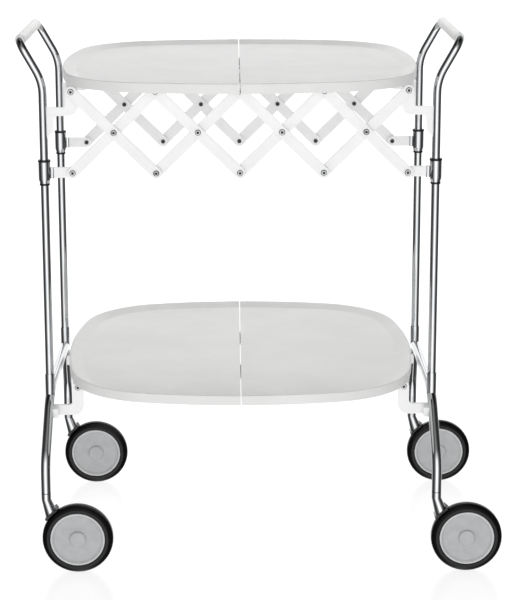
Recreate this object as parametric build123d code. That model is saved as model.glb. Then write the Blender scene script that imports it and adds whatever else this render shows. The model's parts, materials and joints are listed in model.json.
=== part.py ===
from build123d import *
import math
import os

# Folding two-tier serving trolley.  Millimetres, +Z up, the wheels stand on Z = 0.
# X runs from the left side frame to the right one and Y from the front to the rear.
# The side frames, trays and scissors repeat when turned half way round about Z.

os.makedirs("parts", exist_ok=True)

# ---- driving dimensions: side frames ----
TUBE_X = 281.0            # side tubes, from the middle of the cart
TUBE_Y = 133.0
TUBE_DIA = 12.0
TUBE_WALL = 1.2
SOCKET_TOP = 283.5        # where the tube enters the leg arch
SOCKET_DEPTH = 25.0
SOCKET_OVERLAP = 6.0      # the socket starts this far below the arch's centre line
HANDLE_BEND_Z = 715.0     # the tube leans outward from here
HANDLE_OUT = 32.0
HANDLE_UP = 57.0
HANDLE_BEND_R = 70.0
HANDLE_CORNER_R = 18.0
GRIP_DIA = 16.0
GRIP_LENGTH = 226.0
GRIP_ROUND = 1.6

# ---- leg arches ----
LEG_DIA = 14.0
LEG_WALL = 1.5
ARCH_Z = 256.0
ARCH_CORNER_Y = 135.0
ARCH_CORNER_R = 50.0
KNEE_Z = 165.0
KNEE_R = 60.0
FOOT_X = 284.5            # swivel axes of the casters
FOOT_Y = 197.0
FOOT_Z = 121.0            # lower end of the leg

# ---- casters ----
WHEEL_DIA = 104.0
WHEEL_WIDTH = 21.0
WHEEL_TRAIL = 45.0
SWIVEL_PIN_DIA = 8.0
SWIVEL_PIN_LENGTH = 22.0
SWIVEL_GAP = 0.9
LEG_PLUG_LENGTH = 26.0
STEM_STRAIGHT = 9.0       # cylindrical stretch under the leg
STEM_END_DIA = 21.0       # where the elbow meets the hood
HOOD_GAP = 1.0            # between tyre and hood
HOOD_THICKNESS = 3.5
HOOD_HALF_SPAN = 13.0     # degrees either side of the elbow
HOOD_ANGLE = 135.0        # where the elbow meets the hood, seen from the wheel's centre
FORK_GAP = 0.8            # between tyre side and arm
FORK_THICKNESS = 4.0
FORK_WIDTH = 16.0
AXLE_DIA = 6.0
AXLE_BOSS_DIA = 15.0
AXLE_COLLAR_DIA = 12.0
AXLE_END_COVER = 1.0      # hub material left in front of the axle
TYRE_DEPTH = 12.0         # radial, from the tread to the hub
TYRE_SHOULDER_DEPTH = 6.0 # radial, from the tread to the flat side of the tyre
TYRE_TREAD_WIDTH = 9.0
TYRE_SHOULDER = 0.68      # fullness of the shoulder: 0.5 is a flat bevel, 0.7 a quarter round
HUB_WIDTH = 15.0
HUB_RIM_WIDTH = 3.0
HUB_RIM_PROUD = 1.5
HUB_CAP_DIA = 24.0
HUB_CAP_PROUD = 3.0
HUB_CAP_ROUND = 1.2
HUB_RIB_DIA = 52.0
HUB_RIB_WIDTH = 1.2
HUB_RIB_PROUD = 0.6

# ---- trays ----
TRAY_HALF_LENGTH = 260.0
TRAY_HALF_DEPTH = 272.0
TRAY_SIDE_R = 650.0       # long flat curve of the front and the rear edge
TRAY_END_R = 800.0        # curve of the two ends
TRAY_CORNER_R = 140.0
TRAY_HEIGHT = 14.0
TRAY_WALL = 3.0
TRAY_FLOOR = 3.5
RIM_WIDTH = 3.0           # level crest of the rim
RIM_SLOPE_WIDTH = 17.0
RIM_SLOPE_DEPTH = 6.0
RIM_ROUND = 1.4
SEAM_GAP = 1.2            # between the two halves of a tray
PIVOT_BELOW_CREST = 28.0
LUG_THICKNESS = 6.0
LUG_WIDTH = 16.0
LUG_GAP = 0.5             # between tray lug and bracket plate
HINGE_RISE = 11.5         # mid hinge above the line of the outer pivots
HINGE_PIN_DIA = 5.0
KNUCKLE_DIA = 10.0
KNUCKLE_Y = 95.0
KNUCKLE_LENGTH = 14.0
KNUCKLE_GAP = 0.4

# ---- scissors ----
SCISSOR_COUNT = 4
PIVOT_X = 240.0           # outer pivots of trays and scissors
LINK_LENGTH = 168.0       # pivot to pivot
LINK_WIDTH = 16.0
LINK_THICKNESS = 4.0
LINK_EDGE_ROUND = 0.6
LAYER_GAP = 0.5
TOP_PIVOT_Z = 701.5
LOWER_PIVOT_Z = 262.5
PLATE_THICKNESS = 5.0
SCREW_DIA = 5.0
RUNNING_FIT = 0.05        # radial clearance of a turning hole
FACE_GAP = 0.1            # between a screw head and the piece that turns under it
HEAD_DIA = 8.4
HEAD_HEIGHT = 2.0
HEAD_CHAMFER = 0.8
HEX_ACROSS = 4.0
HEX_DEPTH = 1.6
RIVET_DIA = 6.3
RIVET_HEIGHT = 1.5
SPACER_DIA = 12.0

# ---- sliding sleeves ----
SLEEVE_LENGTH = 37.0
SLEEVE_DIA = 17.3
SLEEVE_FOOT_DIA = 13.8
SLEEVE_FOOT_LENGTH = 6.0
SLEEVE_CLEARANCE = 0.3    # radial, on the tube
RING_HEIGHT = 3.0
RING_PROUD = 0.5
ARM_HEIGHT = 15.0
BOSS_HEIGHT = 16.0
BOSS_WIDTH = 9.0
BOSS_REACH = 14.0         # from the tube's axis
ARM_INSERTION = 3.5

# ---- brackets ----
UPPER_BRACKET_WIDTH = 18.0
UPPER_ARM_TOP = 678.0
UPPER_ARM_BOTTOM = 666.0
FLANGE_REACH = 14.4       # from the tube's axis
FLANGE_BOTTOM = 643.0
FLANGE_TIP = 631.0
FLANGE_CORNER_R = 8.0
UPPER_CORNER_R = 14.0
LOWER_BRACKET_WIDTH = 16.0
LOWER_ARM_TOP = 236.0
LOWER_ARM_BOTTOM = 220.6
LOWER_CORNER_R = 14.0
LEG_FOOT_LENGTH = 11.0    # block that carries the lower bracket out to the leg
LEG_FOOT_SETBACK = 1.0    # of the block, from the arm's upper and lower edge
LOWER_EDGE_R = 2.5
LOWER_SHOULDER_R = 5.0
BRACKET_END_ROUND = 0.99  # of the half width: a nearly full round over the pivot

# ---- worked-out sizes ----
SCISSOR_PITCH = 2 * PIVOT_X / SCISSOR_COUNT
LINK_ANGLE = math.degrees(math.acos(SCISSOR_PITCH / LINK_LENGTH))
SCISSOR_HEIGHT = LINK_LENGTH * math.sin(math.radians(LINK_ANGLE))
SLIDER_Z = TOP_PIVOT_Z - SCISSOR_HEIGHT
MIDDLE_Z = TOP_PIVOT_Z - SCISSOR_HEIGHT / 2
TUBE_R = TUBE_DIA / 2
LEG_R = LEG_DIA / 2
GRIP_R = GRIP_DIA / 2
WHEEL_R = WHEEL_DIA / 2
SCREW_R = SCREW_DIA / 2
TURNING_R = SCREW_R + RUNNING_FIT
PLATE_IN = TUBE_Y - PLATE_THICKNESS / 2
PLATE_OUT = TUBE_Y + PLATE_THICKNESS / 2
INNER_LAYER = (PLATE_OUT + LAYER_GAP, PLATE_OUT + LAYER_GAP + LINK_THICKNESS)
OUTER_LAYER = (INNER_LAYER[1] + LAYER_GAP, INNER_LAYER[1] + LAYER_GAP + LINK_THICKNESS)
LUG_OUT = PLATE_IN - LUG_GAP
LUG_IN = LUG_OUT - LUG_THICKNESS
SOCKET_BOTTOM = SOCKET_TOP - SOCKET_DEPTH
HANDLE_X = TUBE_X + HANDLE_OUT
HANDLE_TOP = HANDLE_BEND_Z + HANDLE_UP
X_MAX = FOOT_X + WHEEL_TRAIL + WHEEL_R
X_MIN = -(HANDLE_X + GRIP_R)
CENTRE_SHIFT = -(X_MAX + X_MIN) / 2

FRONT, REAR = -1, 1
LEFT, RIGHT = -1, 1


# ---- helpers ----
def save(node, *solids):
    """Write one node, with the footprint of the whole cart centred on the origin."""
    shape = solids[0] if len(solids) == 1 else Compound(list(solids))
    export_step(Pos(CENTRE_SHIFT, 0, 0) * shape, f"parts/{node}.step")


def rod_y(x, z, y_from, y_to, radius):
    """A round bar along Y between two faces."""
    middle = (y_from + y_to) / 2
    return Pos(x, middle, z) * Rot(90, 0, 0) * Cylinder(radius, abs(y_to - y_from))


def plate(face, y_from, y_to):
    """A flat outline drawn in X and Z, thick from y_from to y_to."""
    low, high = min(y_from, y_to), max(y_from, y_to)
    return extrude(Pos(0, low, 0) * (Plane.XZ * face), amount=high - low, dir=(0, 1, 0))


def bent_wire(points, radii):
    """Straight runs through the points, with a tangent arc at each inner point."""
    runs = []
    last = Vector(points[0])
    for before, corner, after, radius in zip(points, points[1:], points[2:], radii):
        corner = Vector(corner)
        back = (Vector(before) - corner).normalized()
        ahead = (Vector(after) - corner).normalized()
        half_angle = math.acos(back.dot(ahead)) / 2
        reach = radius / math.tan(half_angle)
        start = corner + back * reach
        end = corner + ahead * reach
        bisector = (back + ahead).normalized()
        crown = corner + bisector * (radius / math.sin(half_angle) - radius)
        runs.append(Line(last, start))
        runs.append(ThreePointArc(start, crown, end))
        last = end
    runs.append(Line(last, Vector(points[-1])))
    return Wire([edge for run in runs for edge in run.edges()])


def swept_rod(wire, radius):
    """A round bar that follows the wire."""
    section = Plane(origin=wire @ 0, z_dir=wire % 0) * Circle(radius)
    return sweep(section, path=wire)


def rounded_face(corners):
    """A flat outline of straight edges, each corner (x, z, radius) rounded off."""
    count = len(corners)
    edges = []
    arcs = []
    for i, (x, z, radius) in enumerate(corners):
        corner = Vector(x, z)
        back = (Vector(*corners[i - 1][:2]) - corner).normalized()
        ahead = (Vector(*corners[(i + 1) % count][:2]) - corner).normalized()
        half_angle = math.acos(back.dot(ahead)) / 2
        reach = radius / math.tan(half_angle)
        crown = corner + (back + ahead).normalized() * (radius / math.sin(half_angle) - radius)
        arcs.append((corner + back * reach, crown, corner + ahead * reach, radius))
    for i, (start, crown, end, radius) in enumerate(arcs):
        previous_end = arcs[i - 1][2]
        if (start - previous_end).length > 1e-6:
            edges.append(Line(previous_end, start))
        if radius > 0:
            edges.append(ThreePointArc(start, crown, end))
    return make_face(Curve() + edges)


def screw(x, z, side, seat, end, rivet=True):
    """A pivot screw: its head outside the seat, its shank inward to a rivet end."""
    head = rod_y(x, z, side * seat, side * (seat + HEAD_HEIGHT), HEAD_DIA / 2)
    rim = head.edges().filter_by(GeomType.CIRCLE).sort_by(Axis.Y)[-1 if side == REAR else 0]
    head = chamfer(rim, HEAD_CHAMFER)
    hexagon = RegularPolygon(HEX_ACROSS / 2, 6, major_radius=False)
    top = seat + HEAD_HEIGHT
    socket = plate(Pos(x, z) * hexagon, side * (top - HEX_DEPTH), side * top)
    body = head + rod_y(x, z, side * seat, side * end, SCREW_R) - socket
    if rivet:
        body += rod_y(x, z, side * end, side * (end - RIVET_HEIGHT), RIVET_DIA / 2)
    return body


def spacer(x, z, side):
    """A bush between a bracket plate and a link of the outer layer."""
    far = OUTER_LAYER[0] - FACE_GAP
    return rod_y(x, z, side * PLATE_OUT, side * far, SPACER_DIA / 2) - rod_y(
        x, z, side * PLATE_OUT, side * far, SCREW_R
    )


# ---- side frame, drawn on the left ----
def handle_wire():
    points = [
        (-TUBE_X, -TUBE_Y, SOCKET_BOTTOM),
        (-TUBE_X, -TUBE_Y, HANDLE_BEND_Z),
        (-HANDLE_X, -TUBE_Y, HANDLE_TOP),
        (-HANDLE_X, TUBE_Y, HANDLE_TOP),
        (-TUBE_X, TUBE_Y, HANDLE_BEND_Z),
        (-TUBE_X, TUBE_Y, SOCKET_BOTTOM),
    ]
    return bent_wire(points, [HANDLE_BEND_R, HANDLE_CORNER_R, HANDLE_CORNER_R, HANDLE_BEND_R])


def handle_tube():
    wire = handle_wire()
    return swept_rod(wire, TUBE_R) - swept_rod(wire, TUBE_R - TUBE_WALL)


def grip():
    half = GRIP_LENGTH / 2
    body = rod_y(-HANDLE_X, HANDLE_TOP, -half, half, GRIP_R)
    body = fillet(body.edges().filter_by(GeomType.CIRCLE), GRIP_ROUND)
    return body - rod_y(-HANDLE_X, HANDLE_TOP, -half, half, TUBE_R)


def leg_wire():
    foot = FOOT_Z + SWIVEL_GAP
    points = [
        (-FOOT_X, -FOOT_Y, foot),
        (-FOOT_X, -FOOT_Y, KNEE_Z),
        (-TUBE_X, -ARCH_CORNER_Y, ARCH_Z),
        (-TUBE_X, ARCH_CORNER_Y, ARCH_Z),
        (-FOOT_X, FOOT_Y, KNEE_Z),
        (-FOOT_X, FOOT_Y, foot),
    ]
    return bent_wire(points, [KNEE_R, ARCH_CORNER_R, ARCH_CORNER_R, KNEE_R])


def leg_arch():
    wire = leg_wire()
    body = swept_rod(wire, LEG_R) - swept_rod(wire, LEG_R - LEG_WALL)
    foot = FOOT_Z + SWIVEL_GAP
    for side in (FRONT, REAR):
        plug = Pos(-FOOT_X, side * FOOT_Y, foot + LEG_PLUG_LENGTH / 2) * Cylinder(
            LEG_R - LEG_WALL / 2, LEG_PLUG_LENGTH
        )
        socket_low = ARCH_Z - SOCKET_OVERLAP
        socket_height = SOCKET_TOP - socket_low
        socket = Pos(-TUBE_X, side * TUBE_Y, socket_low + socket_height / 2) * Cylinder(
            LEG_R, socket_height
        )
        body += plug + socket
    for side in (FRONT, REAR):
        body -= Pos(-TUBE_X, side * TUBE_Y, SOCKET_BOTTOM + SOCKET_DEPTH) * Cylinder(
            TUBE_R, 2 * SOCKET_DEPTH
        )
        body -= Pos(-FOOT_X, side * FOOT_Y, foot) * Cylinder(
            SWIVEL_PIN_DIA / 2 + RUNNING_FIT, 2 * (SWIVEL_PIN_LENGTH + SWIVEL_GAP)
        )
    return body


def upper_bracket(side):
    half = UPPER_BRACKET_WIDTH / 2
    outer, inner = -PIVOT_X - half, -PIVOT_X + half
    flange = -TUBE_X + FLANGE_REACH
    face = rounded_face([
        (inner, TOP_PIVOT_Z + half, half * BRACKET_END_ROUND),
        (inner, UPPER_ARM_BOTTOM, UPPER_CORNER_R),
        (flange, UPPER_ARM_BOTTOM, FLANGE_CORNER_R),
        (flange, FLANGE_BOTTOM, FLANGE_CORNER_R),
        (-TUBE_X + TUBE_R / 2, FLANGE_TIP, 0),
        (-TUBE_X + TUBE_R / 2, UPPER_ARM_TOP, 0),
        (outer, UPPER_ARM_TOP, FLANGE_CORNER_R / 2),
        (outer, TOP_PIVOT_Z + half, half * BRACKET_END_ROUND),
    ])
    body = plate(face, side * PLATE_IN, side * PLATE_OUT)
    body -= rod_y(-PIVOT_X, TOP_PIVOT_Z, side * PLATE_IN, side * PLATE_OUT, SCREW_R)
    tube_height = TOP_PIVOT_Z - FLANGE_TIP
    tube = Pos(-TUBE_X, side * TUBE_Y, FLANGE_TIP + tube_height / 2) * Cylinder(
        TUBE_R, 2 * tube_height
    )
    return body - tube


def lower_bracket(side, leg_solid):
    half = LOWER_BRACKET_WIDTH / 2
    outer, inner = -PIVOT_X - half, -PIVOT_X + half
    foot_outer = -TUBE_X + LEG_R / 4
    foot_inner = foot_outer + LEG_FOOT_LENGTH
    face = rounded_face([
        (inner, LOWER_PIVOT_Z + half, half * BRACKET_END_ROUND),
        (inner, LOWER_ARM_BOTTOM, LOWER_CORNER_R),
        (foot_outer, LOWER_ARM_BOTTOM, LOWER_EDGE_R),
        (foot_outer, LOWER_ARM_TOP, LOWER_EDGE_R),
        (outer, LOWER_ARM_TOP, LOWER_SHOULDER_R),
        (outer, LOWER_PIVOT_Z + half, half * BRACKET_END_ROUND),
    ])
    body = plate(face, side * PLATE_IN, side * PLATE_OUT)
    body -= rod_y(-PIVOT_X, LOWER_PIVOT_Z, side * PLATE_IN, side * PLATE_OUT, SCREW_R)
    slope = (FOOT_Y - ARCH_CORNER_Y) / (ARCH_Z - KNEE_Z)
    arm_middle = (LOWER_ARM_TOP + LOWER_ARM_BOTTOM) / 2
    leg_y = ARCH_CORNER_Y + (ARCH_Z - arm_middle) * slope
    block_height = LOWER_ARM_TOP - LOWER_ARM_BOTTOM - 2 * LEG_FOOT_SETBACK
    block = Pos((foot_outer + foot_inner) / 2, side * (PLATE_OUT + leg_y) / 2, arm_middle) * Box(
        LEG_FOOT_LENGTH, leg_y - PLATE_OUT, block_height
    )
    return body + block - leg_solid


# ---- trays ----
def arc_between(centre, radius, start_dir, end_dir):
    """The short arc about centre from one direction to another."""
    start_dir, end_dir = Vector(*start_dir).normalized(), Vector(*end_dir).normalized()
    middle = (start_dir + end_dir).normalized()
    centre = Vector(*centre)
    return ThreePointArc(
        centre + start_dir * radius, centre + middle * radius, centre + end_dir * radius
    )


def tray_outline(inset):
    """The whole tray's outline, drawn in by inset: four long arcs and four corner arcs."""
    side_centre_y = TRAY_HALF_DEPTH - TRAY_SIDE_R
    end_centre_x = TRAY_HALF_LENGTH - TRAY_END_R
    reach_side = TRAY_SIDE_R - TRAY_CORNER_R
    reach_end = TRAY_END_R - TRAY_CORNER_R
    base = math.hypot(end_centre_x, side_centre_y)
    along = (reach_side ** 2 - reach_end ** 2 + base ** 2) / (2 * base)
    across = math.sqrt(reach_side ** 2 - along ** 2)
    unit = Vector(end_centre_x, -side_centre_y) / base
    normal = Vector(-unit.Y, unit.X)
    side_centre = Vector(0, side_centre_y)
    candidates = [side_centre + unit * along + normal * s * across for s in (-1, 1)]
    corner = max(candidates, key=lambda point: point.X + point.Y)
    to_side = corner - side_centre
    to_end = corner - Vector(end_centre_x, 0)
    arcs = []
    for sx, sy in ((1, 1), (-1, 1), (-1, -1), (1, -1)):
        side_ray = (sx * to_side.X, sy * to_side.Y)
        end_ray = (sx * to_end.X, sy * to_end.Y)
        arcs.append(arc_between((sx * corner.X, sy * corner.Y), TRAY_CORNER_R - inset,
                                side_ray, end_ray))
    for s in (1, -1):
        arcs.append(arc_between((0, s * side_centre_y), TRAY_SIDE_R - inset,
                                (to_side.X, s * to_side.Y), (-to_side.X, s * to_side.Y)))
        arcs.append(arc_between((s * end_centre_x, 0), TRAY_END_R - inset,
                                (s * to_end.X, to_end.Y), (s * to_end.X, -to_end.Y)))
    return make_face(Curve() + arcs)


def sloped_recess(top_inset, bottom_inset, bottom_z, depth):
    """The hollow between a wide outline above and a narrower one below."""
    wide = Pos(0, 0, bottom_z + depth) * tray_outline(top_inset)
    narrow = Pos(0, 0, bottom_z) * tray_outline(bottom_inset)
    return loft([narrow, wide], ruled=True)


def whole_tray():
    """A full tray with its crest at Z = 0, before it is parted into halves."""
    slope_end = RIM_WIDTH + RIM_SLOPE_WIDTH
    body = extrude(Pos(0, 0, -TRAY_HEIGHT) * tray_outline(0), amount=TRAY_HEIGHT, dir=(0, 0, 1))
    crest = body.faces().sort_by(Axis.Z)[-1]
    body = fillet(crest.edges(), RIM_ROUND)
    recess = sloped_recess(RIM_WIDTH, slope_end, -RIM_SLOPE_DEPTH, RIM_SLOPE_DEPTH)
    return body - recess


def tray_hollow():
    """The open space under the floor and inside the skirt of a whole tray."""
    slope_end = RIM_WIDTH + RIM_SLOPE_WIDTH
    height = TRAY_HEIGHT - TRAY_FLOOR
    hollow = extrude(Pos(0, 0, -TRAY_HEIGHT) * tray_outline(TRAY_WALL), amount=height,
                     dir=(0, 0, 1))
    floor_low = -RIM_SLOPE_DEPTH - TRAY_FLOOR
    return hollow - sloped_recess(RIM_WIDTH, slope_end, floor_low, RIM_SLOPE_DEPTH)


def knuckle_spans(side):
    """Where the knuckles of one half lie along Y, on each of its two hinges."""
    pitch = KNUCKLE_LENGTH + KNUCKLE_GAP
    offsets = (0,) if side == LEFT else (-pitch, pitch)
    return [hinge * KNUCKLE_Y + offset for hinge in (FRONT, REAR) for offset in offsets]


def tray_half(side, pivot_z, full, hollow):
    """Half a tray with its lugs at the outer pivot and its knuckles at the seam."""
    big = 4 * TRAY_HALF_DEPTH
    crest_z = pivot_z + PIVOT_BELOW_CREST
    hinge_z = pivot_z + HINGE_RISE
    keep = Pos(side * (SEAM_GAP / 2 + big / 2), 0, 0) * Box(big, big, big)
    under = Pos(side * (SEAM_GAP / 2 + TRAY_WALL + big / 2), 0, 0) * Box(big, big, big)
    body = Pos(0, 0, crest_z) * ((full & keep) - (hollow & under))
    floor_under = crest_z - RIM_SLOPE_DEPTH - TRAY_FLOOR
    for end in (FRONT, REAR):
        lug_height = floor_under - pivot_z + TRAY_FLOOR / 2
        lug = Pos(side * PIVOT_X, pivot_z) * Circle(LUG_WIDTH / 2)
        lug += Pos(side * PIVOT_X, pivot_z + lug_height / 2) * Rectangle(LUG_WIDTH, lug_height)
        body += plate(lug, end * LUG_IN, end * LUG_OUT)
        body -= rod_y(side * PIVOT_X, pivot_z, end * LUG_IN, end * LUG_OUT, TURNING_R)
    for y in knuckle_spans(-side):
        half = KNUCKLE_LENGTH / 2 + KNUCKLE_GAP
        body -= rod_y(0, hinge_z, y - half, y + half, KNUCKLE_DIA / 2 + KNUCKLE_GAP)
    for y in knuckle_spans(side):
        half = KNUCKLE_LENGTH / 2
        web_height = floor_under - hinge_z + TRAY_FLOOR / 2
        web_length = KNUCKLE_DIA / 2 - SEAM_GAP / 2
        web = Pos(side * (SEAM_GAP / 2 + web_length / 2), y, hinge_z + web_height / 2) * Box(
            web_length, KNUCKLE_LENGTH, web_height
        )
        bore = HINGE_PIN_DIA / 2 + (0 if side == LEFT else RUNNING_FIT)
        body += rod_y(0, hinge_z, y - half, y + half, KNUCKLE_DIA / 2) + web
        body -= rod_y(0, hinge_z, y - half, y + half, bore)
    return body


def hinge_pins(pivot_z):
    half = 1.5 * KNUCKLE_LENGTH + KNUCKLE_GAP
    return [rod_y(0, pivot_z + HINGE_RISE, side * KNUCKLE_Y - half, side * KNUCKLE_Y + half,
                  HINGE_PIN_DIA / 2) for side in (FRONT, REAR)]


# ---- scissors ----
def link_layer(kind, side):
    """Falling links lie outside at the front and inside at the rear, rising ones opposite."""
    outside = FRONT if kind == "falling" else REAR
    return OUTER_LAYER if side == outside else INNER_LAYER


def link_pivots(kind, index):
    """The left, middle and right pivot of a link."""
    middle = -PIVOT_X + (index + 0.5) * SCISSOR_PITCH
    left_z, right_z = (TOP_PIVOT_Z, SLIDER_Z) if kind == "falling" else (SLIDER_Z, TOP_PIVOT_Z)
    half = SCISSOR_PITCH / 2
    return [(middle - half, left_z), (middle, MIDDLE_Z), (middle + half, right_z)]


def is_frame_pivot(x):
    return abs(x) > PIVOT_X - SCISSOR_PITCH / 4


def is_split_pivot(x, z):
    """The two pivots on the middle line, whose hardware is in two separate ends."""
    return abs(x) < SCISSOR_PITCH / 4 and abs(z - MIDDLE_Z) > SCISSOR_HEIGHT / 4


def link_bar(kind, index, side):
    near, far = link_layer(kind, side)
    pivots = link_pivots(kind, index)
    turn = LINK_ANGLE if kind == "rising" else -LINK_ANGLE
    middle_x, middle_z = pivots[1]
    outline = Pos(middle_x, middle_z) * Rot(0, 0, turn) * SlotCenterToCenter(
        LINK_LENGTH, LINK_WIDTH
    )
    bar = plate(outline, side * near, side * far)
    outer_face = bar.faces().sort_by(Axis.Y)[-1 if side == REAR else 0]
    bar = fillet(outer_face.edges(), LINK_EDGE_ROUND)
    own = (near, far) == OUTER_LAYER
    for x, z in pivots:
        tight = is_split_pivot(x, z) or (own and not is_frame_pivot(x))
        bar -= rod_y(x, z, side * near, side * far, SCREW_R if tight else TURNING_R)
    return bar


def link_screws(kind, index):
    """The screws whose heads sit on the outer one of the two bars, and split rivet ends."""
    outside = FRONT if kind == "falling" else REAR
    solids = []
    for x, z in link_pivots(kind, index):
        if is_frame_pivot(x):
            continue
        if is_split_pivot(x, z):
            solids.append(screw(x, z, outside, OUTER_LAYER[1], OUTER_LAYER[0], rivet=False))
            inside = -outside
            stub = rod_y(x, z, inside * INNER_LAYER[0], inside * INNER_LAYER[1], SCREW_R)
            cap = rod_y(x, z, inside * INNER_LAYER[0],
                        inside * (INNER_LAYER[0] - RIVET_HEIGHT), RIVET_DIA / 2)
            solids.append(stub + cap)
        else:
            solids.append(screw(x, z, outside, OUTER_LAYER[1], INNER_LAYER[0] - FACE_GAP))
    return solids


# ---- sliding sleeves, drawn on the left ----
def sleeve(side):
    half = SLEEVE_LENGTH / 2
    outer_r, foot_r = SLEEVE_DIA / 2, SLEEVE_FOOT_DIA / 2
    bore_r = TUBE_R + SLEEVE_CLEARANCE
    top = half - RING_HEIGHT
    profile = Polyline(
        (bore_r, -half + RING_HEIGHT), (foot_r, -half + RING_HEIGHT),
        (outer_r, -half + RING_HEIGHT + SLEEVE_FOOT_LENGTH), (outer_r, top), (bore_r, top),
        close=True,
    )
    body = revolve(Plane.XZ * make_face(profile), axis=Axis.Z)
    boss_length = BOSS_REACH - bore_r
    boss = Pos(bore_r + boss_length / 2, 0, 0) * Box(boss_length, BOSS_WIDTH, BOSS_HEIGHT)
    boss = fillet(boss.edges().filter_by(Axis.Z).sort_by(Axis.X)[-2:], BOSS_WIDTH / 4)
    shaft = Cylinder(bore_r, 2 * SLEEVE_LENGTH)
    body = Pos(-TUBE_X, side * TUBE_Y, SLIDER_Z) * (body + boss - shaft)
    return body - slider_arm(side, bored=False)


def sleeve_rings(side):
    """A plastic ring at the top of the sleeve and a smaller one at its foot."""
    bore_r = TUBE_R + SLEEVE_CLEARANCE
    rings = []
    for end, radius in ((1, SLEEVE_DIA / 2 + RING_PROUD), (-1, SLEEVE_FOOT_DIA / 2 + RING_PROUD)):
        centre_z = end * (SLEEVE_LENGTH / 2 - RING_HEIGHT / 2)
        ring = Cylinder(radius, RING_HEIGHT)
        ring = fillet(ring.edges().filter_by(GeomType.CIRCLE), RING_HEIGHT / 5)
        ring -= Cylinder(bore_r, RING_HEIGHT)
        rings.append(Pos(-TUBE_X, side * TUBE_Y, SLIDER_Z + centre_z) * ring)
    return rings


def slider_arm(side, bored=True):
    far = -TUBE_X + BOSS_REACH - ARM_INSERTION
    half = ARM_HEIGHT / 2
    length = -PIVOT_X - far
    face = Pos(-PIVOT_X, SLIDER_Z) * Circle(half)
    face += Pos(-PIVOT_X - length / 2, SLIDER_Z) * Rectangle(length, ARM_HEIGHT)
    body = plate(face, side * PLATE_IN, side * PLATE_OUT)
    if bored:
        body -= rod_y(-PIVOT_X, SLIDER_Z, side * PLATE_IN, side * PLATE_OUT, SCREW_R)
    return body


# ---- casters, drawn with the swivel axis on Z and the wheel trailing toward +X ----
def elbow_frame(distance):
    """A plane at a distance from the wheel's centre and facing it, where the elbow ends."""
    angle = math.radians(HOOD_ANGLE)
    toward = Vector(-math.cos(angle), 0, -math.sin(angle))
    origin = Vector(WHEEL_TRAIL, 0, WHEEL_R) - toward * distance
    return Plane(origin=origin, x_dir=(0, 1, 0), z_dir=toward)


def hood_inner_r():
    return WHEEL_R + HOOD_GAP


def caster_stem():
    straight = Pos(0, 0, FOOT_Z - STEM_STRAIGHT / 2) * Cylinder(LEG_R, STEM_STRAIGHT)
    end_plane = elbow_frame(hood_inner_r() + HOOD_THICKNESS / 2)
    start_plane = Plane(origin=(0, 0, FOOT_Z - STEM_STRAIGHT), x_dir=(0, 1, 0), z_dir=(0, 0, -1))
    elbow = loft([start_plane * Circle(LEG_R), end_plane * Circle(STEM_END_DIA / 2)])
    pin = Pos(0, 0, FOOT_Z + SWIVEL_PIN_LENGTH / 2) * Cylinder(
        SWIVEL_PIN_DIA / 2, SWIVEL_PIN_LENGTH
    )
    inside = rod_y(WHEEL_TRAIL, WHEEL_R, -WHEEL_WIDTH, WHEEL_WIDTH, hood_inner_r() + HOOD_THICKNESS)
    return straight + (elbow - inside) + pin


def hood_shell():
    """The curved plate over the tyre, from the tyre's near side out to the arm."""
    inner, outer = hood_inner_r(), hood_inner_r() + HOOD_THICKNESS
    ring = Pos(WHEEL_TRAIL, WHEEL_R) * (Circle(outer) - Circle(inner))
    reach = 2 * outer
    low, high = math.radians(HOOD_ANGLE - HOOD_HALF_SPAN), math.radians(HOOD_ANGLE + HOOD_HALF_SPAN)
    corners = [(reach * math.cos(a), reach * math.sin(a)) for a in (low, high)]
    wedge = make_face(Polyline((0, 0), *corners, close=True))
    sector = ring & (Pos(WHEEL_TRAIL, WHEEL_R) * wedge)
    arm_far = WHEEL_WIDTH / 2 + FORK_GAP + FORK_THICKNESS
    return plate(sector, -WHEEL_WIDTH / 2, arm_far)


def caster_fork():
    """The hood and the single arm that reaches down to the axle behind the wheel."""
    near = WHEEL_WIDTH / 2 + FORK_GAP
    far = near + FORK_THICKNESS
    length = hood_inner_r() + HOOD_THICKNESS / 2
    arm = Pos(WHEEL_TRAIL, WHEEL_R) * (
        Circle(AXLE_BOSS_DIA / 2) + Rot(0, 0, HOOD_ANGLE) * Pos(length / 2, 0) * Rectangle(
            length, FORK_WIDTH
        )
    )
    body = hood_shell() + plate(arm, near, far)
    return body - rod_y(WHEEL_TRAIL, WHEEL_R, near, far, AXLE_DIA / 2)


def axle_near_end():
    return -HUB_WIDTH / 2 + AXLE_END_COVER


def caster_axle():
    """A pin from the back of the arm to just under the hub cap."""
    far = WHEEL_WIDTH / 2 + FORK_GAP + FORK_THICKNESS
    pin = rod_y(WHEEL_TRAIL, WHEEL_R, axle_near_end(), far, AXLE_DIA / 2)
    collar_near = HUB_WIDTH / 2 + FACE_GAP
    collar_far = WHEEL_WIDTH / 2 + FORK_GAP
    return pin + rod_y(WHEEL_TRAIL, WHEEL_R, collar_near, collar_far, AXLE_COLLAR_DIA / 2)


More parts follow.
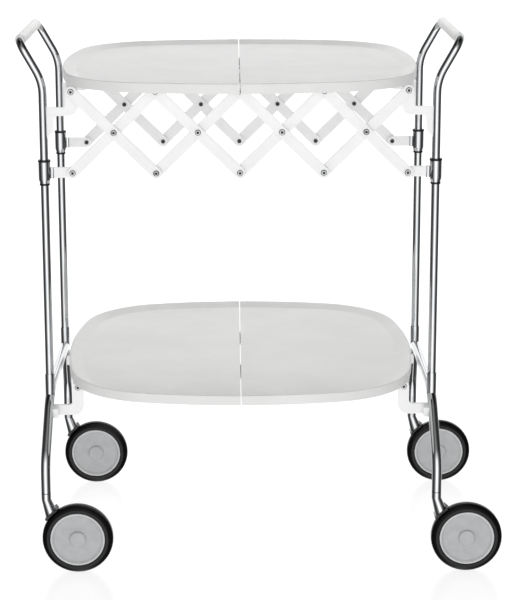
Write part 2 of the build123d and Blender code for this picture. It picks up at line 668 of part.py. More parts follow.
def tyre():
    half = WHEEL_WIDTH / 2
    tread = TYRE_TREAD_WIDTH / 2
    flat_r, inner_r = WHEEL_R - TYRE_SHOULDER_DEPTH, WHEEL_R - TYRE_DEPTH
    crown = (tread + (half - tread) * TYRE_SHOULDER, flat_r + (WHEEL_R - flat_r) * TYRE_SHOULDER)
    edges = [
        Line((-half, inner_r), (-half, flat_r)),
        ThreePointArc((-half, flat_r), (-crown[0], crown[1]), (-tread, WHEEL_R)),
        Line((-tread, WHEEL_R), (tread, WHEEL_R)),
        ThreePointArc((tread, WHEEL_R), crown, (half, flat_r)),
        Line((half, flat_r), (half, inner_r)),
        Line((half, inner_r), (-half, inner_r)),
    ]
    ring = revolve(make_face(Curve() + edges), axis=Axis.X)
    return Pos(WHEEL_TRAIL, 0, WHEEL_R) * Rot(0, 0, 90) * ring


def hub():
    """A disc with a proud outer rim, a small rib and a cap over the axle, on the front."""
    half = HUB_WIDTH / 2
    outer_r = WHEEL_R - TYRE_DEPTH
    x, z = WHEEL_TRAIL, WHEEL_R
    body = rod_y(x, z, -half, half, outer_r)
    rim_front = -half - HUB_RIM_PROUD
    rim = rod_y(x, z, rim_front, -half, outer_r)
    rim -= rod_y(x, z, rim_front, -half, outer_r - HUB_RIM_WIDTH)
    rib_r = HUB_RIB_DIA / 2
    rib = rod_y(x, z, -half - HUB_RIB_PROUD, -half, rib_r)
    rib -= rod_y(x, z, -half - HUB_RIB_PROUD, -half, rib_r - HUB_RIB_WIDTH)
    cap = rod_y(x, z, -half - HUB_CAP_PROUD, -half, HUB_CAP_DIA / 2)
    cap = fillet(cap.edges().filter_by(GeomType.CIRCLE).sort_by(Axis.Y)[0], HUB_CAP_ROUND)
    bore_end = axle_near_end() - FACE_GAP
    return body + rim + rib + cap - rod_y(x, z, bore_end, half, AXLE_DIA / 2 + RUNNING_FIT)


# ---- write every node ----
def write_side_frames():
    leg = leg_arch()
    leg_solid = swept_rod(leg_wire(), LEG_R)
    brackets = [spacer(-PIVOT_X, TOP_PIVOT_Z, FRONT)]
    screws = []
    for side, link_far in ((FRONT, OUTER_LAYER[1]), (REAR, INNER_LAYER[1])):
        brackets += [upper_bracket(side), lower_bracket(side, leg_solid)]
        end = LUG_IN - FACE_GAP
        screws.append(screw(-PIVOT_X, TOP_PIVOT_Z, side, link_far + FACE_GAP, end))
        screws.append(screw(-PIVOT_X, LOWER_PIVOT_Z, side, PLATE_OUT, end))
    tube, handle = handle_tube(), grip()
    for name, turn in (("left", 0), ("right", 180)):
        place = Rot(0, 0, turn)
        save(f"{name}_handle_tube", place * tube)
        save(f"{name}_grip", place * handle)
        save(f"{name}_leg_arch", place * leg)
        save(f"{name}_brackets", *[place * solid for solid in brackets])
        save(f"{name}_frame_screws", *[place * solid for solid in screws])


def write_sliders():
    sides = (FRONT, REAR)
    sleeves = [sleeve(side) for side in sides]
    rings = [ring for side in sides for ring in sleeve_rings(side)]
    arms = [slider_arm(side) for side in sides] + [spacer(-PIVOT_X, SLIDER_Z, REAR)]
    screws = [
        screw(-PIVOT_X, SLIDER_Z, side, link_far + FACE_GAP, PLATE_IN)
        for side, link_far in ((FRONT, INNER_LAYER[1]), (REAR, OUTER_LAYER[1]))
    ]
    for name, turn in (("left", 0), ("right", 180)):
        place = Rot(0, 0, turn)
        save(f"{name}_sleeves", *[place * solid for solid in sleeves])
        save(f"{name}_sleeve_rings", *[place * solid for solid in rings])
        save(f"{name}_slider_arms", *[place * solid for solid in arms])
        save(f"{name}_slider_screws", *[place * solid for solid in screws])


def write_trays():
    full, hollow = whole_tray(), tray_hollow()
    for level, pivot_z in (("top", TOP_PIVOT_Z), ("lower", LOWER_PIVOT_Z)):
        for name, side in (("left", LEFT), ("right", RIGHT)):
            save(f"{level}_tray_{name}", tray_half(side, pivot_z, full, hollow))
        save(f"{level}_hinge_pins", *hinge_pins(pivot_z))


def write_scissors():
    for kind in ("falling", "rising"):
        for index in range(SCISSOR_COUNT):
            bars = [link_bar(kind, index, side) for side in (FRONT, REAR)]
            save(f"{kind}_links_{index + 1}", *bars)
            save(f"{kind}_screws_{index + 1}", *link_screws(kind, index))


def write_casters():
    pieces = {"stem": caster_stem(), "fork": caster_fork(), "axle": caster_axle(),
              "tyre": tyre(), "hub": hub()}
    for row, y in (("front", -FOOT_Y), ("rear", FOOT_Y)):
        for column, x in (("left", -FOOT_X), ("right", FOOT_X)):
            for piece, shape in pieces.items():
                save(f"{row}_{column}_{piece}", Pos(x, y, 0) * shape)


write_side_frames()
write_sliders()
write_trays()
write_scissors()
write_casters()
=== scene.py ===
# %% [markdown]
# A folding serving trolley. The frame that comes in holds every moving part at its real place.
# This lesson gives those parts their finished surfaces, one kind of piece at a time.

# %% Load the frame
import json
import math

import bmesh
import bpy
from mathutils import Matrix, Vector


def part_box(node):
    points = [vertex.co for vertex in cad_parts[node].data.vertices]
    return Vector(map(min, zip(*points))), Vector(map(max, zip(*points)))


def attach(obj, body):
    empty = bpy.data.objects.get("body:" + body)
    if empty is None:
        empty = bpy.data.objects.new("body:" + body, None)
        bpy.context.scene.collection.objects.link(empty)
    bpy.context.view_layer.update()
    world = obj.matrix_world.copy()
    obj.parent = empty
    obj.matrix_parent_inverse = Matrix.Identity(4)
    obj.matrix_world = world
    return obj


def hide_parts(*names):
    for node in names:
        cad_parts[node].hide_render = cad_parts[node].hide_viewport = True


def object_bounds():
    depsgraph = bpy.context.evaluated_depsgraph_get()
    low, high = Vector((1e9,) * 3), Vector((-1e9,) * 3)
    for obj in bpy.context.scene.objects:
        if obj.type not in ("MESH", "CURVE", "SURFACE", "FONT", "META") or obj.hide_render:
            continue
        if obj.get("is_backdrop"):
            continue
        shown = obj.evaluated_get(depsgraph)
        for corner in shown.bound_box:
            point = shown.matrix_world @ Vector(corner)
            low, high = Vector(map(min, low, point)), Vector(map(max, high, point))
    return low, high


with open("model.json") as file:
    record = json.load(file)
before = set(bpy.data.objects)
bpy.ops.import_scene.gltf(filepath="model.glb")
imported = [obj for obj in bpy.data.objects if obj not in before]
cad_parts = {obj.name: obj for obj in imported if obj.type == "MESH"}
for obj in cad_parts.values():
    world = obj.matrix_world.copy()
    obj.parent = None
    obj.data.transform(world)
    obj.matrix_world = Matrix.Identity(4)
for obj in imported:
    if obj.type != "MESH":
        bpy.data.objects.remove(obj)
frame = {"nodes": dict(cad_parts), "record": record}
CAD_LOW, CAD_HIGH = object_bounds()
BODIES = frame["record"]["behaviour"]["bodies"]
BODY_OF = {node: body for body, nodes in BODIES.items() for node in nodes}
print("nodes", len(BODY_OF), "box", [round(v, 4) for v in CAD_LOW], [round(v, 4) for v in CAD_HIGH])

# %% [markdown]
# Lengths are easier to read in millimetres, and Blender works in metres, so one value turns
# one into the other. Colours are picked as sRGB hex values, but shaders want linear light.
# One function does that change, and one function adds a shader node with its settings.

# %% Units, colours and nodes
MM = 0.001
MERGE = 0.002 * MM


def linear(hex_colour):
    """An sRGB hex colour as linear red, green, blue and alpha."""
    channels = [int(hex_colour[i:i + 2], 16) / 255 for i in (1, 3, 5)]
    bent = [c / 12.92 if c <= 0.04045 else ((c + 0.055) / 1.055) ** 2.4 for c in channels]
    return (*bent, 1.0)


def add_node(tree, kind, links=None, inputs=None, **settings):
    """Adds a node, sets its own settings and input values, and links inputs to sockets."""
    node = tree.nodes.new(kind)
    for name, value in settings.items():
        setattr(node, name, value)
    for name, value in (inputs or {}).items():
        node.inputs[name].default_value = value
    for name, socket in (links or {}).items():
        tree.links.new(socket, node.inputs[name])
    return node


def per_metre(size_mm):
    """A noise scale whose blobs are about size_mm across."""
    return 1.0 / (size_mm * MM)


print("mid grey", [round(channel, 3) for channel in linear("#808080")])

# %% [markdown]
# Every finish here has the same build: a base colour that drifts a little, a roughness that
# drifts with handling or moulding, and a fine relief. Noise textures on Object coordinates
# give all three, and the real grain size in millimetres sets their scales.

# %% One surface recipe
def surface(name, colours, roughness, grain_mm, relief_mm, drift_mm=60, **shader):
    """A material with a drifting colour, a drifting roughness and a fine grain."""
    material = bpy.data.materials.new(name)
    material.use_nodes = True
    tree = material.node_tree
    tree.nodes.clear()
    place = add_node(tree, "ShaderNodeTexCoord").outputs["Object"]
    drift = add_node(tree, "ShaderNodeTexNoise", {"Vector": place},
                     {"Scale": per_metre(drift_mm), "Detail": 3.0, "Roughness": 0.55})
    colour = add_node(tree, "ShaderNodeValToRGB", {"Fac": drift.outputs["Fac"]})
    colour.color_ramp.elements[0].position = 0.35
    colour.color_ramp.elements[1].position = 0.65
    colour.color_ramp.elements[0].color = linear(colours[0])
    colour.color_ramp.elements[1].color = linear(colours[1])
    haze = add_node(tree, "ShaderNodeTexNoise", {"Vector": place},
                    {"Scale": per_metre(drift_mm / 5), "Detail": 4.0, "Roughness": 0.6})
    rough = add_node(tree, "ShaderNodeMapRange", {"Value": haze.outputs["Fac"]},
                     {"From Min": 0.3, "From Max": 0.7, "To Min": roughness[0],
                      "To Max": roughness[1]})
    grain = add_node(tree, "ShaderNodeTexNoise", {"Vector": place},
                     {"Scale": per_metre(grain_mm), "Detail": 2.0, "Roughness": 0.5})
    relief = add_node(tree, "ShaderNodeBump", {"Height": grain.outputs["Fac"]},
                      {"Strength": 1.0, "Distance": relief_mm * MM})
    body = add_node(tree, "ShaderNodeBsdfPrincipled",
                    {"Base Color": colour.outputs["Color"], "Roughness": rough.outputs["Result"],
                     "Normal": relief.outputs["Normal"]}, shader)
    add_node(tree, "ShaderNodeOutputMaterial", {"Surface": body.outputs["BSDF"]})
    print("material", name)
    return material


# %% [markdown]
# The tubes and elbows are steel with bright nickel-chrome plate. Plate is a mirror with a
# trace of haze from polishing, so it is fully metallic with a roughness near zero.
# The screws are chromed too, a little hazier. Their hexagon socket and the rim against the bar
# are painted black as shade, and the riveted inner end is black. Hinge pins and axles are bare
# turned steel.

# %% Metal finishes
chrome_plate = surface("bright_chrome_plate", ("#D3D5D7", "#DCDDDF"), (0.035, 0.085), 0.9,
                       0.0006, drift_mm=45, Metallic=1.0)
screw_chrome = surface("chromed_screw_steel", ("#B9BBBD", "#C6C8CA"), (0.08, 0.16), 0.4, 0.002,
                       drift_mm=6, Metallic=1.0)
# Painted shade for the screws' sockets and rims, and the black of the riveted inner ends.
screw_shade_and_rivet_black = surface("painted_screw_shade_and_rivet_black", ("#161617", "#1F1F20"), (0.35, 0.5), 0.4, 0.004,
                        drift_mm=4)
turned_steel = surface("turned_steel", ("#8B8C8E", "#9B9C9E"), (0.24, 0.36), 0.5, 0.004,
                       drift_mm=8, Metallic=1.0)

# %% [markdown]
# The trays are thermoplastic mouldings (ABS) with a fine satin grain, which spreads highlights
# softly. The links and brackets are powder-coated steel: baked powder leaves a slight orange
# peel about a millimetre and a half across, so their relief is coarser than the trays'.

# %% White finishes
white_abs = surface("moulded_white_abs", ("#DDDDDC", "#E2E2E1"), (0.36, 0.46), 0.7, 0.006,
                    drift_mm=90, IOR=1.53)
white_powder = surface("white_powder_coat", ("#ECECEC", "#F0F0F0"), (0.36, 0.46), 1.5, 0.012,
                       drift_mm=30, IOR=1.5)
white_grip = surface("moulded_white_polypropylene", ("#F4F4F3", "#F9F9F8"), (0.4, 0.5), 0.8,
                     0.008, drift_mm=25, IOR=1.49)

# %% [markdown]
# The wheels have a grey nylon hub and a black rubber tyre. The hood, arm and sleeve rings are
# black polypropylene. Rubber is the roughest and darkest of them, nylon has a waxy sheen.

# %% Dark and grey finishes
grey_nylon = surface("moulded_grey_nylon", ("#AAABAC", "#B2B3B4"), (0.38, 0.5), 0.9, 0.008,
                     drift_mm=12, IOR=1.53)
# A paler grey for the ring round the hub's edge: a painted highlight where the rim catches the
# light.
hub_rim_highlight_grey = surface("painted_highlight_grey_nylon", ("#C4C5C6", "#CBCCCD"), (0.3, 0.42), 0.9, 0.006,
                     drift_mm=12, IOR=1.53)
black_rubber = surface("black_tyre_rubber", ("#050506", "#09090A"), (0.26, 0.38), 0.8, 0.012,
                       drift_mm=15, IOR=1.38)
black_plastic = surface("moulded_black_polypropylene", ("#0B0B0C", "#111112"), (0.28, 0.4), 0.7,
                        0.006, drift_mm=12, IOR=1.49)

# %% [markdown]
# A part from the frame comes as loose triangles with knife-sharp edges. Real pressed, moulded
# and machined parts have a small radius on every edge that catches the light. A copy is
# merged and its flat faces joined up, and then a Bevel modifier rounds what is sharp.

# %% Handing a piece over
def wear_finish(obj, material, node):
    """Gives a piece its material, its body, and hides the plain part."""
    obj.data.materials.clear()
    obj.data.materials.append(material)
    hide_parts(node)
    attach(obj, BODY_OF[node])
    return obj


# %% [markdown]
# Shading is smooth across edges that are nearly flat and sharp across the rest. The Bevel
# modifier rounds only edges that turn by more than its own angle.

# %% A finished copy of a part
SMOOTH_BELOW = math.radians(32)
BEVEL_ABOVE = math.radians(40)
COPLANAR = math.radians(0.2)


def smooth_shade(mesh, below=SMOOTH_BELOW):
    """Smooth shading, broken at every edge that turns by more than an angle."""
    for polygon in mesh.polygons:
        polygon.use_smooth = True
    mesh.set_sharp_from_angle(angle=below)


def finished_copy(node, material, edge_mm, segments=2, below=SMOOTH_BELOW, above=BEVEL_ABOVE):
    """A merged copy of a part, smooth below one angle, edges above another rounded to edge_mm."""
    bm = bmesh.new()
    bm.from_mesh(frame["nodes"][node].data)
    bmesh.ops.remove_doubles(bm, verts=bm.verts, dist=MERGE)
    bmesh.ops.dissolve_limit(bm, angle_limit=COPLANAR, verts=bm.verts, edges=bm.edges)
    mesh = bpy.data.meshes.new(node + "_finished")
    bm.to_mesh(mesh)
    bm.free()
    smooth_shade(mesh, below)
    obj = bpy.data.objects.new(node + "_finished", mesh)
    bpy.context.scene.collection.objects.link(obj)
    if edge_mm:
        bevel = obj.modifiers.new("edge", "BEVEL")
        bevel.width = edge_mm * MM
        bevel.segments = segments
        bevel.limit_method = "ANGLE"
        bevel.angle_limit = above
        bevel.harden_normals = True
        bevel.use_clamp_overlap = True
    return wear_finish(obj, material, node)


# %% [markdown]
# Each screw head is bright only on its face. Its socket and the rim that meets the bar are painted
# black as shade, and the riveted inner end is black. One node holds several separate screws, so its
# mesh is taken one island at a time, by walking along its edges from any vertex until none is left.

# %% Islands of a mesh
def islands(bm):
    """The separate pieces of a mesh, as lists of vertices."""
    waiting = set(bm.verts)
    while waiting:
        group = []
        frontier = [waiting.pop()]
        while frontier:
            vert = frontier.pop()
            group.append(vert)
            near = {edge.other_vert(vert) for edge in vert.link_edges} & waiting
            waiting -= near
            frontier += near
        yield group


# %% [markdown]
# Every screw lies along Y, so the middle of an island is its axis. A face is then judged by
# its distance from that axis and from the inner end, all in millimetres.

# %% Two-tone screws
SOCKET_R = 2.45
FACE_R = 3.3
RIVET_DEEP = 1.6
FLAT_ON = 0.95


def finished_screws(node):
    """A finished copy of a node of screws: painted shade in socket and rim, black rivet end."""
    obj = finished_copy(node, screw_chrome, 0)
    obj.data.materials.append(screw_shade_and_rivet_black)
    bm = bmesh.new()
    bm.from_mesh(obj.data)
    for group in islands(bm):
        xs = [vert.co.x for vert in group]
        zs = [vert.co.z for vert in group]
        axis_x, axis_z = (min(xs) + max(xs)) / 2, (min(zs) + max(zs)) / 2
        innermost = min(abs(vert.co.y) for vert in group) / MM
        for face in {face for vert in group for face in vert.link_faces}:
            away = [math.hypot(v.co.x - axis_x, v.co.z - axis_z) / MM for v in face.verts]
            in_socket = max(away) < SOCKET_R
            on_rim = min(away) > FACE_R and abs(face.normal.y) < FLAT_ON
            riveted = max(abs(v.co.y) for v in face.verts) / MM < innermost + RIVET_DEEP
            # Index 1 paints shade in the socket and on the rim, and blacks the rivet end.
            face.material_index = int(in_socket or on_rim or riveted)
    bm.to_mesh(obj.data)
    bm.free()
    return obj


# %% [markdown]
# The flat steel bars of the scissors, the brackets, the slider arms and the trays all keep
# their outline from the frame, so a finished copy is enough. The tubes are smooth all round
# and need no bevel.
#
# The sloping band inside a tray's rim meets the floor at only 19 degrees. The usual limit
# would shade the two as one surface, so on the trays edges stay sharp, and get a bevel, from
# 15 degrees up.

# %% Frame, scissors and trays
RIM_SLOPE = math.radians(15)
for side in ("left", "right"):
    finished_copy(side + "_handle_tube", chrome_plate, 0)
    finished_copy(side + "_leg_arch", chrome_plate, 0.35)
    finished_copy(side + "_brackets", white_powder, 0.8)
    finished_screws(side + "_frame_screws")
    finished_copy(side + "_sleeves", chrome_plate, 0)
    finished_copy(side + "_sleeve_rings", black_plastic, 0)
    finished_copy(side + "_slider_arms", white_powder, 0.8)
    finished_screws(side + "_slider_screws")
for index in range(1, 5):
    for kind in ("falling", "rising"):
        finished_copy(f"{kind}_links_{index}", white_powder, 0)
        finished_screws(f"{kind}_screws_{index}")
for level in ("top", "lower"):
    finished_copy(level + "_hinge_pins", turned_steel, 0.3)
    for half in ("left", "right"):
        finished_copy(f"{level}_tray_{half}", white_abs, 1.2, 3, RIM_SLOPE, RIM_SLOPE)

# %% [markdown]
# A wheel's tyre and hub are turned shapes. Each is drawn as half a cross-section, a chain of
# a few points with rounded corners, and spun a full turn about the axle.

# %% Spin a cross-section
def spun_piece(name, profile, centre, axis, rounding_mm, steps=96, corner_steps=3):
    """Spins (along, radius) points in mm about an axis through centre."""
    bm = bmesh.new()
    along = Vector(axis)
    outward = along.orthogonal().normalized()
    verts = [bm.verts.new(along * (a * MM) + outward * (r * MM)) for a, r in profile]
    edges = [bm.edges.new((verts[i - 1], verts[i])) for i in range(len(verts))]
    bmesh.ops.bevel(bm, geom=verts, offset=rounding_mm * MM, offset_type="OFFSET",
                    segments=corner_steps, profile=0.5, affect="VERTICES", material=-1)
    bmesh.ops.spin(bm, geom=bm.verts[:] + bm.edges[:], cent=(0, 0, 0), axis=along,
                   angle=math.tau, steps=steps, use_merge=True)
    bmesh.ops.remove_doubles(bm, verts=bm.verts, dist=MERGE)
    bmesh.ops.recalc_face_normals(bm, faces=bm.faces)
    bmesh.ops.translate(bm, verts=bm.verts, vec=centre)
    mesh = bpy.data.meshes.new(name)
    bm.to_mesh(mesh)
    bm.free()
    smooth_shade(mesh)
    obj = bpy.data.objects.new(name, mesh)
    bpy.context.scene.collection.objects.link(obj)
    return obj


# %% [markdown]
# A tyre's side starts with a small bead at the hub and a flat band, and then the shoulder
# rolls over to a crowned tread. Both sides are alike, so the shoulder is given once as
# (distance in from the side, radius) and read backward for the far side.

# %% Tyre
SHOULDER_FLAT = 5.2
TREAD_SHARE = 0.42


def tyre_ring(corner, centre, half, radius, bead):
    """The spun tyre, from its half width, its outer radius and the hub's radius."""
    shoulder = [
        (0.8, bead), (0.0, bead + 0.9), (0.0, bead + SHOULDER_FLAT), (0.7, bead + 6.0),
        (1.6, radius - 4.4), (3.6, radius - 1.9), (half - half * TREAD_SHARE, radius - 0.35),
    ]
    profile = [(inset - half, r) for inset, r in shoulder] + [(0, radius)]
    profile += [(half - inset, r) for inset, r in reversed(shoulder)]
    tyre = spun_piece(corner + "_tyre_finished", profile, centre, (0, 1, 0), 0.35)
    wear_finish(tyre, black_rubber, corner + "_tyre")
    print(corner, "tyre radius", round(radius, 2), "faces", len(tyre.data.polygons))


# %% [markdown]
# The hub is a shallow dish with a raised cap over the axle. A ring runs round the edge of the hub,
# just inside the tyre, in a paler grey that paints the highlight where the rim catches the light.

# %% Hub and rim ring
CAP_R = 12.0
CAP_ROUND = 1.2
CAP_PROUD = 3.2
BORE_R = 3.05
BORE_COVER = 2.6
NEAR_AXIS = 0.001


def hub_disc(corner, centre, front, back, bead):
    """The spun hub and its rim ring, from how far the hub reaches forward and back."""
    disc = -front + CAP_PROUD
    profile = [
        (-front, NEAR_AXIS), (-front, CAP_R - CAP_ROUND), (-front + CAP_ROUND, CAP_R),
        (disc, CAP_R), (disc, bead - 5.4), (disc - 1.4, bead - 3.6), (disc - 1.4, bead - 0.3),
        (disc - 0.6, bead), (back, bead), (back, BORE_R), (disc + BORE_COVER, BORE_R),
        (disc + BORE_COVER, NEAR_AXIS),
    ]
    hub = spun_piece(corner + "_hub_finished", profile, centre, (0, 1, 0), 0.4)
    wear_finish(hub, grey_nylon, corner + "_hub")
    ring_profile = [
        (disc - 1.0, bead - 3.2), (disc - 2.2, bead - 2.6), (disc - 2.6, bead - 1.4),
        (disc - 2.2, bead - 0.2), (disc - 0.4, bead), (disc + 0.4, bead - 1.6),
    ]
    ring = spun_piece(corner + "_hub_rim", ring_profile, centre, (0, 1, 0), 0.3)
    # The ring's paler grey is a painted highlight.
    ring.data.materials.append(hub_rim_highlight_grey)
    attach(ring, BODY_OF[corner + "_hub"])
    print(corner, "hub radius", round(bead, 2))


# %% [markdown]
# The black hood above the tyre ends square in the frame. The moulding's hood runs out in a
# thin lip, so the copy's end vertices are drawn in toward the tyre and its middle, and moved
# a little further round. Angles are about the wheel's centre.

# %% Fork
HOOD_CLEAR = 1.0
HOOD_LIP = 0.4
HOOD_MIDDLE = math.radians(135)
HOOD_FULL = math.radians(11.4)
HOOD_END = math.radians(13)
HOOD_REACH = math.radians(14.5)
HOOD_NARROWS = 0.7


def tapered_fork(corner, centre, radius):
    """A copy of the fork whose hood runs out in a thin lip at both ends, as the moulding does."""
    fork = finished_copy(corner + "_fork", black_plastic, 0)
    thin = radius + HOOD_CLEAR + HOOD_LIP
    for vert in fork.data.vertices:
        out = Vector((vert.co.x - centre.x, 0, vert.co.z - centre.z)) / MM
        off = math.atan2(out.z, out.x) - HOOD_MIDDLE
        share = (abs(off) - HOOD_FULL) / (HOOD_END - HOOD_FULL)
        if out.length < radius or share <= 0:
            continue
        angle = HOOD_MIDDLE + math.copysign(
            HOOD_FULL + share * (HOOD_REACH - HOOD_FULL), off)
        reach = out.length
        if reach > thin:
            reach += (thin - reach) * share
        vert.co.y += (centre.y - vert.co.y) * HOOD_NARROWS * share
        vert.co.x = centre.x + reach * math.cos(angle) * MM
        vert.co.z = centre.z + reach * math.sin(angle) * MM


# %% [markdown]
# Where a caster turns under its leg, a thin black washer sits in the gap between the leg's
# end and the elbow. It turns with the elbow.

# %% Swivel washer
LEG_R = 7.0
PIN_R = 4.1
WASHER_HALF = 0.35
WASHER_BELOW = 0.45
WASHER_IN = 0.1


def swivel_washer(corner):
    """The thin black washer in the joint where the caster turns under the leg."""
    side = corner.split("_")[1]
    leg_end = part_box(side + "_leg_arch")[0][2]
    low, high = (Vector(v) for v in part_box(corner + "_stem"))
    middle = Vector((low.x + LEG_R * MM, (low.y + high.y) / 2, leg_end))
    middle.z -= WASHER_BELOW * MM
    outer = LEG_R - WASHER_IN
    profile = [(-WASHER_HALF, PIN_R), (-WASHER_HALF, outer), (WASHER_HALF, outer),
               (WASHER_HALF, PIN_R)]
    washer = spun_piece(corner + "_swivel_washer", profile, middle, (0, 0, 1), 0.1, steps=48)
    washer.data.materials.append(black_plastic)
    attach(washer, BODY_OF[corner + "_stem"])


# %% [markdown]
# The sizes of each caster are read from its tyre and hub in the frame.

# %% Casters
def caster(corner):
    """All the finished pieces of one caster."""
    tyre_low, tyre_high = (Vector(v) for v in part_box(corner + "_tyre"))
    hub_low, hub_high = (Vector(v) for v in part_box(corner + "_hub"))
    centre = (tyre_low + tyre_high) / 2
    half = (tyre_high.y - tyre_low.y) / 2 / MM
    radius = (tyre_high.z - tyre_low.z) / 2 / MM
    bead = (hub_high.z - hub_low.z) / 2 / MM
    front = (centre.y - hub_low.y) / MM
    back = (hub_high.y - centre.y) / MM
    tyre_ring(corner, centre, half, radius, bead)
    hub_disc(corner, centre, front, back, bead)
    finished_copy(corner + "_stem", chrome_plate, 0.3)
    tapered_fork(corner, centre, radius)
    swivel_washer(corner)
    finished_copy(corner + "_axle", turned_steel, 0.3)


for row in ("front", "rear"):
    for column in ("left", "right"):
        caster(f"{row}_{column}")

# %% [markdown]
# The grips are plastic sleeves pushed over the handle tube. Each is a turned shape too, with
# a soft radius at both ends.

# %% Grips
GRIP_BORE_R = 6.0
GRIP_ROUND = 1.4

for side in ("left", "right"):
    low, high = (Vector(v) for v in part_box(side + "_grip"))
    centre = (low + high) / 2
    half = (high.y - low.y) / 2 / MM
    outer = (high.z - low.z) / 2 / MM
    grip_profile = [
        (-half, GRIP_BORE_R), (-half, outer - GRIP_ROUND), (-half + GRIP_ROUND, outer),
        (half - GRIP_ROUND, outer), (half, outer - GRIP_ROUND), (half, GRIP_BORE_R),
    ]
    grip = spun_piece(side + "_grip_finished", grip_profile, centre, (0, 1, 0), 0.4, steps=64)
    wear_finish(grip, white_grip, side + "_grip")
    print(side, "grip length", round(2 * half, 1))

# %% [markdown]
# The trolley stands on a plain white floor with a trace of polish, which gives each wheel a
# faint reflection. A little glow in the floor keeps it white without flooding the trays.

# %% Floor
FLOOR_HALF = 14.0
FLOOR_GLOW = 0.86

floor_mesh = bpy.data.meshes.new("studio_floor")
bm = bmesh.new()
bmesh.ops.create_grid(bm, x_segments=1, y_segments=1, size=FLOOR_HALF)
bm.to_mesh(floor_mesh)
bm.free()
floor = bpy.data.objects.new("studio_floor", floor_mesh)
bpy.context.scene.collection.objects.link(floor)
floor_paint = bpy.data.materials.new("studio_floor_paint")
floor_paint.use_nodes = True
tree = floor_paint.node_tree
tree.nodes.clear()
paint = add_node(tree, "ShaderNodeBsdfPrincipled", None, {
    "Base Color": linear("#6A6A6A"), "Roughness": 0.24, "IOR": 1.3,
    "Emission Color": (1, 1, 1, 1), "Emission Strength": FLOOR_GLOW,
})
add_node(tree, "ShaderNodeOutputMaterial", {"Surface": paint.outputs["BSDF"]})
floor_mesh.materials.append(floor_paint)
floor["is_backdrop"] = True
floor.visible_glossy = False
print("floor", 2 * FLOOR_HALF, "m across")

# %% [markdown]
# Chrome only shows what surrounds it. What it sees is bright in front, dark to both sides and
# pale behind, so each tube gets a white stripe between dark edges. Matt surfaces get a softer
# light that is strongest from the front, and the camera itself sees plain white.

# %% What the room looks like in a mirror
REFLECTED = ((0.0, 1.0), (0.12, 0.95), (0.17, 0.33), (0.27, 0.2), (0.34, 0.03), (0.62, 0.04),
             (0.78, 0.3), (1.0, 0.6))

world = bpy.data.worlds.new("studio")
bpy.context.scene.world = world
world.use_nodes = True
tree = world.node_tree
tree.nodes.clear()
direction = add_node(tree, "ShaderNodeTexCoord").outputs["Generated"]
parts = add_node(tree, "ShaderNodeSeparateXYZ", {"Vector": direction})
ahead = add_node(tree, "ShaderNodeMath", {0: parts.outputs["Y"]}, {1: -1.0},
                 operation="MULTIPLY")
turn = add_node(tree, "ShaderNodeMath", {0: parts.outputs["X"], 1: ahead.outputs["Value"]},
                operation="ARCTAN2")
swing = add_node(tree, "ShaderNodeMath", {0: turn.outputs["Value"]}, operation="ABSOLUTE")
share = add_node(tree, "ShaderNodeMath", {0: swing.outputs["Value"]}, {1: math.pi},
                 operation="DIVIDE")
panels = add_node(tree, "ShaderNodeValToRGB", {"Fac": share.outputs["Value"]})
stops = panels.color_ramp.elements
for position, brightness in REFLECTED:
    stop = stops.new(position)
    stop.color = (brightness, brightness, brightness, 1)
stops.remove(stops[0])
stops.remove(stops[-1])
ceiling = add_node(tree, "ShaderNodeMapRange", {"Value": parts.outputs["Z"]},
                   {"From Min": 0.3, "From Max": 0.75, "To Min": 1.5, "To Max": 0.25})
mirror_room = add_node(tree, "ShaderNodeBackground",
                       {"Color": panels.outputs["Color"], "Strength": ceiling.outputs["Result"]})
print("mirror room", len(REFLECTED), "panels from front to back")

# %% [markdown]
# The soft light on matt surfaces is even, a little stronger from the front and weaker from
# the two ends.

# %% Soft light and plain white
SOFT_LEVEL = 0.48
SOFT_TOWARD = (0.0, -0.12, 0.02)
SOFT_ENDS = (0.24, 0.0, 0.0)

aside = add_node(tree, "ShaderNodeVectorMath", {0: direction}, operation="ABSOLUTE")
dim_ends = add_node(tree, "ShaderNodeVectorMath", {0: aside.outputs["Vector"]}, {1: SOFT_ENDS},
                    operation="DOT_PRODUCT")
fall = add_node(tree, "ShaderNodeVectorMath", {0: direction}, {1: SOFT_TOWARD},
                operation="DOT_PRODUCT")
level = add_node(tree, "ShaderNodeMath", {0: fall.outputs["Value"]}, {1: SOFT_LEVEL},
                 operation="ADD")
soft = add_node(tree, "ShaderNodeMath", {0: level.outputs["Value"], 1: dim_ends.outputs["Value"]},
                operation="SUBTRACT")
soft_room = add_node(tree, "ShaderNodeBackground", {"Strength": soft.outputs["Value"]},
                     {"Color": (1, 1, 1, 1)})
white = add_node(tree, "ShaderNodeBackground", None, {"Color": (1, 1, 1, 1), "Strength": 1.0})
rays = add_node(tree, "ShaderNodeLightPath")
lit = add_node(tree, "ShaderNodeMixShader", {0: rays.outputs["Is Glossy Ray"],
                                             1: soft_room.outputs["Background"],
                                             2: mirror_room.outputs["Background"]})
both = add_node(tree, "ShaderNodeMixShader", {0: rays.outputs["Is Camera Ray"],
                                              1: lit.outputs["Shader"],
                                              2: white.outputs["Background"]})
add_node(tree, "ShaderNodeOutputWorld", {"Surface": both.outputs["Shader"]})
print("soft light", SOFT_LEVEL)

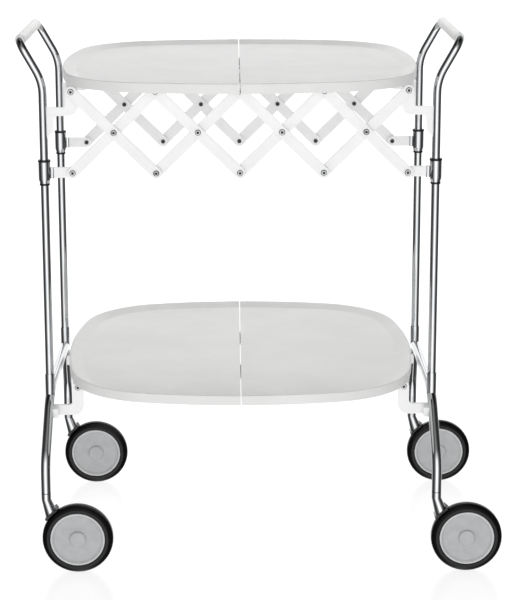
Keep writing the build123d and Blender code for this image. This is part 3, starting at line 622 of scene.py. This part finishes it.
# %% [markdown]
# Three large lamps give the rest: one in front at about the height of the top tray, one high
# behind and a weak one overhead. The camera and reflections don't see them.

# %% Soft boxes
def soft_box(name, place, aim, size, power):
    """A rectangular lamp in metres and watts. Shiny pieces reflect the room instead of it."""
    light = bpy.data.lights.new(name, "AREA")
    light.shape = "RECTANGLE"
    light.size, light.size_y = size
    light.energy = power
    obj = bpy.data.objects.new(name, light)
    obj.location = place
    obj.rotation_euler = (Vector(aim) - Vector(place)).to_track_quat("-Z", "Y").to_euler()
    obj.visible_camera = False
    obj.visible_glossy = False
    bpy.context.scene.collection.objects.link(obj)
    print("soft box", name, power, "W")


soft_box("front_box", (0, -3.6, 0.75), (0, 0, 0.45), (3.0, 1.5), 43)
soft_box("back_box", (0.3, 2.5, 2.2), (0, 0, 0.6), (2.6, 1.4), 66)
soft_box("top_box", (0, 0.1, 3.0), (0, 0, 0.4), (2.4, 2.0), 6)

# %% [markdown]
# The camera stands about three metres in front, a little above the trays, with a long lens.
# A small lens shift frames the trolley without tilting its uprights any further.

# %% Camera
SENSOR = 36.0
LENS = 115.062
SHIFT = (0.0463333, -0.0666667)
PLACE = (-40.66, -2846.7, 1075.8)
DOWN, ROLL = math.radians(12.91), math.radians(-0.233)
FAR = 60.0

camera_data = bpy.data.cameras.new("camera")
camera_data.sensor_width = SENSOR
camera_data.lens = LENS
camera_data.shift_x, camera_data.shift_y = SHIFT
camera_data.clip_end = FAR
camera = bpy.data.objects.new("camera", camera_data)
camera.location = [value * MM for value in PLACE]
camera.rotation_euler = (
    Matrix.Rotation(math.pi / 2 - DOWN, 3, "X") @ Matrix.Rotation(ROLL, 3, "Z")
).to_euler()
bpy.context.scene.collection.objects.link(camera)
bpy.context.scene.camera = camera
bpy.context.scene.view_settings.view_transform = "Standard"
print("camera", [round(v, 4) for v in camera.location])

# %% Sizes and finish
low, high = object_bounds()
{"cad": [list(CAD_LOW), list(CAD_HIGH)], "visual": [list(low), list(high)]}
print("visual box", [round(v, 4) for v in low], [round(v, 4) for v in high])
